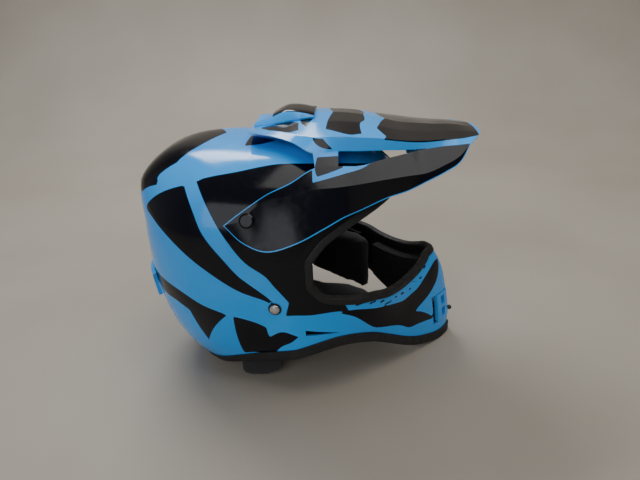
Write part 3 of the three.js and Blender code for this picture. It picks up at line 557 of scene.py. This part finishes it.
def build_shell():
    angles, points = shell_grid()
    rows = points.shape[1]
    low = len(LOW_ROWS) - 1
    off = degrees_off((angles[:-1] + angles[1:]) / 2)

    def keep(i, j):
        return not (off[i] < PORT_END and low <= j < low + MIDDLE_ROWS)

    shell = mesh_object("shell_skin", points.reshape(-1, 3), grid_faces(COLUMNS + 1, rows, keep))
    face_outward(shell, (0, 0, 130))
    where = head_points(shell)
    where[:, 1] = np.abs(where[:, 1])
    flat = dome(where)
    blocks = [block_outline(b) for b in BAND_BLOCKS]
    store(shell, "black", area(flat, *[dome(o) for o in list(SHELL_BLACK.values()) + blocks]))
    store(shell, "satin", area(flat, dome(SHELL_SATIN)))
    shell.data.materials.append(painted_material("shell_paint", satin=True))
    shell.data.materials.append(INSIDE)
    thicken(shell, SHELL_WALL, inside=1, rim=1)
    carve(shell, shell_cutters())
    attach(shell, "helmet")
    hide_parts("shell")


def block_outline(block):
    """Four corners of a small block painted round the shell."""
    x, y, z, long, high = block
    way = np.array([y, -x + EYE[0], 0]) / math.hypot(x - EYE[0], y)
    middle = np.array([x, y, z])
    corners = ((-1, -1), (1, -1), (1, 1), (-1, 1))
    return [middle + way * long / 2 * a + [0, 0, high / 2 * b] for a, b in corners]


def patch_body(name, angles, heights, out, inside):
    """Closed body over a patch of the shell, from outside its surface to inside it."""
    patch = at_height(np.radians(angles)[:, None], np.array(heights)[None, :])
    slopes = normals_at(patch)
    points = np.concatenate([(patch + slopes * out).reshape(-1, 3), (patch - slopes * inside).reshape(-1, 3)])
    count = patch.shape[0] * patch.shape[1]
    faces = grid_faces(*patch.shape[:2])
    faces += [tuple(count + k for k in reversed(f)) for f in faces]
    index = np.arange(count).reshape(patch.shape[:2])
    ring = list(index[0, :]) + list(index[1:, -1]) + list(index[-1, -2::-1]) + list(index[-2:0:-1, 0])
    faces += [(a, b, b + count, a + count) for a, b in zip(ring, ring[1:] + ring[:1])]
    return mesh_object(name, points, [tuple(int(k) for k in f) for f in faces])


def shell_cutters():
    vent = prism("vent", [(130, 23.5), (200, 23.5), (200, 60.5), (130, 60.5)], -26.5, 26.5)
    slot = [(7, 76), (7, 82.5), (41, 72.5)]
    cutters = [vent, prism("slot_r", slot, -130, -90), prism("slot_l", slot, 90, 130)]
    for side in (-1, 1):
        angles = side * np.linspace(12.75, 25.25, 4)
        cutters.append(patch_body("brow", angles, [212.5, 218.5, 224.5], 3, 12))
        centre = at_height(math.pi - side * math.radians(11), 104)
        hole = turned("hole", [(0, -12), (6, -12), (6, 6), (0, 6)], centre, normals_at(centre), 20)
        cutters.append(hole)
    return cutters


def turned(name, profile, origin, axis, sides):
    """Closed round body about an axis, from [radius, distance along it] points."""
    turn = Vector((0, 0, 1)).rotation_difference(Vector(axis)).to_matrix()
    turns = np.arange(sides) * 2 * math.pi / sides
    points = [origin + np.array(turn @ Vector((r * math.cos(a), r * math.sin(a), h)))
              for r, h in profile for a in turns]
    faces = [(i * sides + k, i * sides + (k + 1) % sides,
              (i + 1) * sides + (k + 1) % sides, (i + 1) * sides + k)
             for i in range(len(profile) - 1) for k in range(sides)]
    return mesh_object(name, points, faces)


# ---------------------------------------------------------------- rubber trims
def sweep(name, path, overs, normals, profile):
    """Closed ring of a profile [along over, along normal] swept round a path."""
    rings = [[p + o * a + n * h for a, h in profile] for p, o, n in zip(path, overs, normals)]
    count = len(profile)
    faces = [(i * count + k, ((i + 1) % len(path)) * count + k,
              ((i + 1) % len(path)) * count + (k + 1) % count, i * count + (k + 1) % count)
             for i in range(len(path)) for k in range(count)]
    return mesh_object(name, np.array(rings).reshape(-1, 3), faces, sharp=50)


def ring_frames(path):
    normals = normals_at(path)
    along = np.roll(path, -1, axis=0) - np.roll(path, 1, axis=0)
    overs = np.cross(normals, along)
    return overs / np.linalg.norm(overs, axis=1, keepdims=True), normals


def build_port_trim():
    """Rolled rubber edge of the eye port, with a bead along its lip."""
    angles = np.radians(np.linspace(-PORT_END, PORT_END, 145))
    back = np.linspace(0, 1, 12)[1:-1]
    end_low, end_high = port_low(angles[-1:])[0], port_high(angles[-1:])[0]
    ends = end_high + (end_low - end_high) * back
    path = np.concatenate([at_height(angles, port_high(angles)), at_height(np.full(10, angles[-1]), ends),
                           at_height(angles[::-1], port_low(angles[::-1])),
                           at_height(np.full(10, angles[0]), ends[::-1])])
    overs, normals = ring_frames(path)
    profile = [(-2.2, -1.2), (-2.4, 0.4), (-1.5, 1.5), (-0.2, 1.8), (1.2, 1.4), (3.4, 1.2), (4.8, 1.0),
               (5.4, 0.4), (5.4, -0.1), (1, -0.2), (1, -4.7), (5.4, -4.8), (5.2, -6.4),
               (-1.2, -6.6), (-2.2, -5.6)]
    trim = sweep("eyeport_rubber", path, overs, normals, profile)
    finish_rubber(trim, "eyeport_trim")


def build_base_trim():
    """Rubber skirt along the shell's lower rim, flat where it stands on the floor."""
    angles = -math.pi + 2 * math.pi * np.arange(COLUMNS) / COLUMNS
    rim = at_height(angles, rim_z(angles))
    top = at_height(angles, rim_z(angles) + 9)
    up = (top - rim) / np.linalg.norm(top - rim, axis=1, keepdims=True)
    normals = normals_at(rim)
    profile = [(-3, -5.6), (-3, 1.2), (-2.2, 2.0), (0, 2.2), (3, 2.0), (6.5, 2.0), (8.6, 1.7), (9, 0.6),
               (8.9, 0.1), (1, 0), (1, -4.7), (8.9, -4.9), (8.6, -6.2), (2, -6.4), (-2, -6.2)]
    trim = sweep("base_rubber", rim, up, normals, profile)
    for v in trim.data.vertices:
        v.co.z = max(v.co.z, 0)
    finish_rubber(trim, "base_trim")


def finish_rubber(trim, node):
    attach(trim, "helmet")
    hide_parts(node)
    trim.data.materials.append(RUBBER)


# ---------------------------------------------------------------- peak
PEAK_RAILS = [
    [(-49, 0, 258), (-18, 0, 266), (1, 0, 270), (20, 0, 271), (43, 0, 270.5), (63, 0, 268),
     (81, 0, 264.5), (105, 0, 258.5), (124, 0, 256.5), (141, 0, 255), (162, 0, 254), (186, 0, 249.5)],
    [(-47, 24, 260), (-19, 26, 265), (1, 30, 268), (20, 36, 268.5), (43, 34, 268), (63, 34, 266),
     (81, 34, 262), (106, 32, 256.5), (124, 29, 254.5), (141, 26, 253), (160, 24, 252.5), (184, 20, 250)],
    [(-46, 38, 262.5), (-19, 46, 263), (1, 56, 261.5), (20, 64, 260), (43, 65, 260), (63, 65, 258.5),
     (81, 64, 257), (106, 61, 253.5), (124, 56, 251.5), (141, 50, 250.5), (159, 45, 250), (177, 38, 249)],
    [(-45, 45, 262.5), (-19, 56, 260), (1, 68, 256.5), (20, 80, 249.5), (43, 70, 247.5), (63, 68, 246.5),
     (81, 66, 246), (106, 62, 244.5), (124, 58, 244), (141, 54, 245), (156, 54, 246), (167, 56, 247.5)],
]
SKIRT_RAILS = [
    [(22, 91, 238.5), (43, 88, 238.5), (63, 88, 238.5), (81, 79, 240.5), (106, 68, 243)] + PEAK_RAILS[3][8:],
    [(20, 106, 223), (43, 104, 224), (63, 101, 225.5), (83, 96, 227), (105, 88, 227.5), (124, 80, 227.5),
     (141, 72, 232), (155, 66, 238), (167, 56, 247.5)],
    [(30, 118, 190), (47, 109, 196.5), (63, 101, 200.5), (86, 95, 209), (106, 88, 213), (124, 82, 219.5),
     (141, 75, 225.5), (156, 68, 233), (167, 56, 247.5)],
]
ARM_RAILS = [
    [(-60, 197), (-44, 208), (-21, 221), (0, 228.5)],
    [(-60, 197), (-44, 202.5), (-23, 216), (1, 219.5)],
    [(-60, 197), (-43, 181.5), (-22, 173), (4, 179)],
]
ARM_GAP = 8
RAIL_STEP = 16                     # grid steps between two rail points


def arm_point(x, z):
    """Point over the shell's left side, standing the arm's gap off it."""
    start = np.array([x, 0.0, z])
    low, high = 0.0, 200.0
    for _ in range(HALVINGS):
        middle = (low + high) / 2
        if field(start + [0, middle, 0]) < ARM_GAP:
            low = middle
        else:
            high = middle
    return (x, low, z)


def rail(points, steps=RAIL_STEP):
    """Catmull-Rom curve through the points."""
    p = np.array(points, float)
    p = np.vstack([2 * p[0] - p[1], p, 2 * p[-1] - p[-2]])
    out = []
    for i in range(1, len(p) - 2):
        for k in range(steps):
            s = k / steps
            out.append(0.5 * (2 * p[i] + (p[i + 1] - p[i - 1]) * s
                              + (2 * p[i - 1] - 5 * p[i] + 4 * p[i + 1] - p[i + 2]) * s ** 2
                              + (3 * p[i] - p[i - 1] - 3 * p[i + 1] + p[i + 2]) * s ** 3))
    out.append(p[-2])
    return np.array(out)


def between(rails, steps):
    """Grid rows between rails, straight across."""
    rows = [rails[0]]
    for a, b in zip(rails, rails[1:]):
        rows += [a + (b - a) * k / steps for k in range(1, steps + 1)]
    return np.array(rows)


ACROSS = 14
EDGE_HIGHLIGHT_LINE = 1.0                    # width in mm of a painted highlight: a blue line along the peak's lower edge and the arm's top edge, for light caught on the rounded edge
ARM_PARTS = 4                      # rail parts that belong to the arm
# Black areas of the peak: on top as (x, 20 per rail from the middle), on the skirt as (x, z).
PEAK_TOP_BLACK = [
    [(38, -3), (68, -3), (69, 12), (64, 22), (65, 35), (53, 37), (31, 30), (34, 12)],
    [(92, -3), (182, -3), (180, 34), (165, 40), (135, 44), (85, 42), (88, 36), (80, 24), (86, 8)],
    [(-34, 20), (-5, 19), (4, 22), (5, 33), (-6, 39), (-24, 39), (-33, 29)],
    [(5, 14), (18, 14), (12, 28), (6, 22)],
    [(19, 41), (29, 42), (38, 57), (29, 54), (22, 48)],
]
SKIRT_BLUE = [(19, 252), (84, 252), (72, 239.5), (50, 233.5), (20, 228)]
SKIRT_BLACK_PATCH = [(24, 246), (44, 244.5), (48, 241), (47, 237.5), (40, 235.5), (24, 232), (22, 238)]


def peak_sheets():
    """(grid, black measure) of each sheet of the left half."""
    top_rails = [rail(r) for r in PEAK_RAILS]
    skirt_rails = [rail([arm_point(x, z) for x, z in arm] + front)
                   for arm, front in zip(ARM_RAILS, SKIRT_RAILS)]
    skirt_rails[0][9 * RAIL_STEP:] = top_rails[3][8 * RAIL_STEP:]
    top = between(top_rails, ACROSS)
    v = np.repeat(np.arange(len(top)) * 20 / ACROSS, top.shape[1])
    flat = top.reshape(-1, 3)
    black = area(np.stack([flat[:, 0], v], 1), *PEAK_TOP_BLACK).reshape(top.shape[:2])
    black[-1] = -0.01
    sheets = [(top, black.ravel())]
    skirt = between(skirt_rails, ACROSS)
    black = skirt_black(skirt.reshape(-1, 3)[:, [0, 2]]).reshape(skirt.shape[:2])
    # Painted highlight: the black stops short of the skirt's lower edge and the arm's top edge, leaving a
    # thin blue line where the rounded edges catch the light.
    to_low = np.linalg.norm(skirt - skirt[-1], axis=-1) - EDGE_HIGHLIGHT_LINE
    to_top = np.linalg.norm(skirt - skirt[0], axis=-1)
    black = np.minimum(black, to_low)
    arm, joined = slice(0, ARM_PARTS * RAIL_STEP), slice(8 * RAIL_STEP, None)
    black[:, arm] = np.minimum(black[:, arm], to_top[:, arm] - EDGE_HIGHLIGHT_LINE)
    black[:, joined] = np.minimum(black[:, joined], to_top[:, joined] - 0.01)
    sheets.append((skirt, black.ravel()))
    for i, k in ((3, 4), (7, 8)):
        span = [top_rails[3][i * RAIL_STEP:(i + 1) * RAIL_STEP + 1],
                skirt_rails[0][k * RAIL_STEP:(k + 1) * RAIL_STEP + 1]]
        bridge = between(span, ACROSS)
        sheets.append((bridge, skirt_black(bridge.reshape(-1, 3)[:, [0, 2]])))
    return sheets


def skirt_black(xz):
    return np.maximum(-area(xz, SKIRT_BLUE), area(xz, SKIRT_BLACK_PATCH))


def build_peak():
    points, faces, black = [], [], []
    for grid, measure in peak_sheets():
        for side in (1, -1):
            base = sum(len(p) for p in points)
            points.append(grid.reshape(-1, 3) * [1, side, 1])
            black.append(measure)
            faces += [tuple(base + k for k in f) for f in grid_faces(*grid.shape[:2])]
    peak = mesh_object("peak_skin", np.concatenate(points), faces, 14, {"black": np.concatenate(black)})
    face_outward(peak, (20, 0, 190))
    peak.data.materials.append(PEAK_PAINT)
    # Slot 1 is the lighter edge colour, a painted highlight, which the solidify rim and the bevel faces take.
    peak.data.materials.append(PEAK_EDGE_HIGHLIGHT)
    thicken(peak, PEAK_WALL, rim=1)
    bevel(peak, 0.8, 2)
    peak.modifiers["bevel"].angle_limit = math.radians(60)
    peak.modifiers["bevel"].material = 1
    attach(peak, "peak_unit")
    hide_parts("peak")


TONGUE = [(40, 269), (76, 264.5), (74, 256), (67, 245.5), (54, 247), (46, 256)]
PIVOT = (-38, 198)
CLAMP = (56, 256)


def build_tongue():
    """Rib under the peak's middle with an arc slot for the clamp screw."""
    tongue = prism("peak_tongue", TONGUE, -2, 2)
    reach = math.hypot(CLAMP[0] - PIVOT[0], CLAMP[1] - PIVOT[1])
    start = math.atan2(CLAMP[1] - PIVOT[1], CLAMP[0] - PIVOT[0])
    arc = start + np.radians(np.linspace(-3.4, 3.9, 10))
    ring = [[(PIVOT[0] + r * math.cos(a), PIVOT[1] + r * math.sin(a)) for a in arc]
            for r in (reach + 2.8, reach - 2.8)]
    carve(tongue, [prism("slot", ring[0] + ring[1][::-1], -8, 8)])
    tongue.data.materials.clear()
    tongue.data.materials.append(PLASTIC)
    bevel(tongue, 0.4, 2)
    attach(tongue, "peak_unit")


# Hood on the back of the peak: (x, half-width at the foot, half-width on top, height at the foot, on top).
HOOD = [(-45, 8, 4, 260.2, 262.5), (-32, 18, 12, 263, 268), (-15, 26, 19, 266.8, 276.5),
        (-6, 27, 21, 268.5, 278), (6, 27, 22, 270.2, 276.8), (19, 25, 21, 271.2, 273.8)]


def build_hood():
    """Scoop with a rounded back, a black top and blue sides."""
    curve = rail(np.array(HOOD), 7)
    points, black = [], []
    for x, foot, top, low, high in curve:
        section = [(-foot, low - 1.4), (-foot - 0.4, low + 0.4), (-(foot + top) / 2, (low + high) / 2 + 0.8),
                   (-top - 0.6, high - 1.9), (-top + 1.2, high - 0.7), (-top * 0.6, high),
                   (-top * 0.25, high + 0.1)]
        section += [(-y, z) for y, z in reversed(section)]
        points += [(x, y, z) for y, z in section]
        black += [min(x + 24, 1.6 * (z - high + 1.6)) for y, z in section]
    count = len(points) // len(curve)
    faces = [(i * count + k, (i + 1) * count + k,
              (i + 1) * count + (k + 1) % count, i * count + (k + 1) % count)
             for i in range(len(curve) - 1) for k in range(count)]
    faces += [tuple(range(count)), tuple(len(points) - count + k for k in reversed(range(count)))]
    hood = mesh_object("hood_skin", points, faces, 40, {"black": black})
    bevel(hood, 0.4, 2)
    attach(hood, "peak_unit")
    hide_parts("peak_hood")
    hood.data.materials.append(PEAK_PAINT)


# ---------------------------------------------------------------- padded pieces
def puffed(node, name, body, pull=0.0018, cap=0.004, voxel=0.004):
    """A pad sewn to the CAD solid's size: drawn in a little, then blown up as cloth."""
    pad = add_object(name, NODES[node].data.copy())
    pad.data.materials.clear()
    for key in list(pad.keys()):
        del pad[key]
    remesh = pad.modifiers.new("remesh", "REMESH")
    remesh.mode = "VOXEL"
    remesh.voxel_size = voxel
    apply_modifiers(pad)
    smooth = pad.modifiers.new("smooth", "SMOOTH")
    smooth.iterations = 6
    apply_modifiers(pad)
    rest = np.array([v.co[:] for v in pad.data.vertices])
    normals = np.array([v.normal[:] for v in pad.data.vertices])
    start = rest - normals * pull
    pad.data.vertices.foreach_set("co", start.ravel())
    grown = blow_up(pad)
    move = grown - start
    length = np.linalg.norm(move, axis=1, keepdims=True)
    start = start + move * np.minimum(1, cap / np.maximum(length, 1e-9))
    low, high = (np.array(c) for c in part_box(node))
    pad.data.vertices.foreach_set("co", np.clip(start, low + 0.0002, high - 0.0002).ravel())
    for face in pad.data.polygons:
        face.use_smooth = True
    pad.modifiers.new("fine", "SUBSURF").levels = 1
    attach(pad, body)
    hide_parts(node)
    pad.data.materials.append(PAD_CLOTH)
    return pad


def blow_up(pad):
    """Where a pad's points end after a short run as pressurised cloth."""
    cloth = pad.modifiers.new("cloth", "CLOTH")
    cloth.settings.use_pressure = True
    cloth.settings.uniform_pressure_force = PRESSURE
    cloth.settings.tension_stiffness = 30
    cloth.settings.effector_weights.gravity = 0
    scene = bpy.context.scene
    for step in range(1, CLOTH_FRAMES + 1):
        scene.frame_set(step)
    shape = pad.evaluated_get(bpy.context.evaluated_depsgraph_get()).to_mesh()
    grown = np.array([v.co[:] for v in shape.vertices])
    pad.modifiers.clear()
    scene.frame_set(1)
    return grown


# ---------------------------------------------------------------- CAD nodes that keep their shape
def keep_node(name, material, width=0.3, rounds=0, segments=2):
    node = NODES[name]
    node.data.materials.clear()
    node.data.materials.append(material)
    if rounds:
        node.modifiers.new("round", "SUBSURF").levels = rounds
        for modifier in node.modifiers:
            modifier.render_levels = rounds
    elif width:
        bevel(node, width, segments)
    for face in node.data.polygons:
        face.use_smooth = True


def dress_nodes():
    for side in ("_right", "_left"):
        keep_node("cheek_block" + side, FOAM)
        keep_node("cheek_stud_plate" + side, PLASTIC)
        keep_node("peak_side_screw" + side, BLACK_PAINT, 0.5, segments=3)
        keep_node("peak_side_nut" + side, STEEL)
        keep_node("brow_vent" + side, PLASTIC)
        keep_node("strap_rivet" + side, STEEL)
        keep_node("strap_rivet_washer" + side, RUBBER, 0.1)
        keep_node("strap_hanger" + side, STEEL)
        keep_node("strap" + side, WEBBING)
    for name in ("eps_liner", "chin_foam"):
        keep_node(name, FOAM, 0)
    for name in ("peak_bracket", "peak_clamp_screw", "chin_vent_shutter", "snap_stud"):
        keep_node(name, PLASTIC)
    keep_node("chin_vent_grille", BLUE_PAINT)
    keep_node("chin_vent_mesh", STEEL, 0)
    keep_node("strap_tail", WEBBING)
    keep_node("d_ring_loop", WEBBING)
    for name in ("d_ring_front", "d_ring_back"):
        keep_node(name, STEEL, rounds=2)
    keep_node("rear_spoiler", BLUE_PAINT, 0.6)


# ---------------------------------------------------------------- floor and light
def add_stage():
    mesh = bpy.data.meshes.new("floor")
    reach, depth, curve, wall = 3.0, 1.25, 0.5, 2.5
    profile = [(-reach, 0), (depth - curve, 0)]
    profile += [(depth - curve + curve * math.sin(a), curve - curve * math.cos(a))
                for a in np.linspace(0, math.pi / 2, 14)[1:]]
    profile += [(depth, wall)]
    points = [(x, y, z) for x in (-reach, reach) for y, z in profile]
    n = len(profile)
    mesh.from_pydata(points, [], [(k, n + k, n + k + 1, k + 1) for k in range(n - 1)])
    for face in mesh.polygons:
        face.use_smooth = True
    floor = add_object("floor", mesh)
    floor.data.materials.append(floor_material())


def add_area(name, place, target, size, power, colour=(1, 1, 1)):
    data = bpy.data.lights.new(name, "AREA")
    data.shape = "RECTANGLE"
    data.size, data.size_y = size
    data.energy = power
    data.color = colour
    lamp = add_object(name, data)
    lamp.location = place
    lamp.rotation_euler = (Vector(target) - Vector(place)).to_track_quat("-Z", "Y").to_euler()


def add_lights():
    add_area("window", (-0.55, 0.95, 1.65), (0, 0, 0.2), (1.0, 0.32), 20, (0.96, 0.98, 1))
    add_area("ceiling", (0.5, -0.1, 2.1), (0, 0, 0.1), (1.6, 1.6), 20, (1, 0.98, 0.95))
    add_area("front", (-1.0, -2.2, 1.3), (0, 0, 0.1), (2.4, 1.6), 24, (0.93, 0.96, 1))
    world = bpy.data.worlds.new("world")
    world.use_nodes = True
    world.node_tree.nodes["Background"].inputs[0].default_value = (0.9, 0.92, 1, 1)
    world.node_tree.nodes["Background"].inputs[1].default_value = 0.2
    bpy.context.scene.world = world


# ---------------------------------------------------------------- assembly
add_camera()
RUBBER = rubber_material()
FOAM = foam_material()
PLASTIC = plastic_material()
STEEL = metal_material()
WEBBING = webbing_material()
PAD_CLOTH = fabric_material("comfort_cloth", (0.010, 0.010, 0.012, 1))
PEAK_PAINT = painted_material("peak_paint")
# Lighter blue for the peak's rims and bevels: a painted highlight.
PEAK_EDGE_HIGHLIGHT = edge_highlight_material()
BLUE_PAINT = painted_material("blue_paint", plain=0.0)
BLACK_PAINT = painted_material("black_paint", plain=1.0)
INSIDE = inside_material()

build_shell()
build_port_trim()
build_base_trim()
build_peak()
build_tongue()
build_hood()
for side in ("right", "left"):
    puffed(f"cheek_pad_{side}", f"cheek_cushion_{side}", "helmet", voxel=0.0045)
    puffed(f"strap_pad_{side}", f"chin_strap_sleeve_{side}", f"{side}_strap",
           pull=0.0012, cap=0.002, voxel=0.0022)
puffed("crown_pad", "crown_cushion", "helmet", pull=0.001, cap=0.002)
puffed("neck_roll", "neck_cushion", "helmet", pull=0.0012, cap=0.003)
dress_nodes()
add_stage()
add_lights()
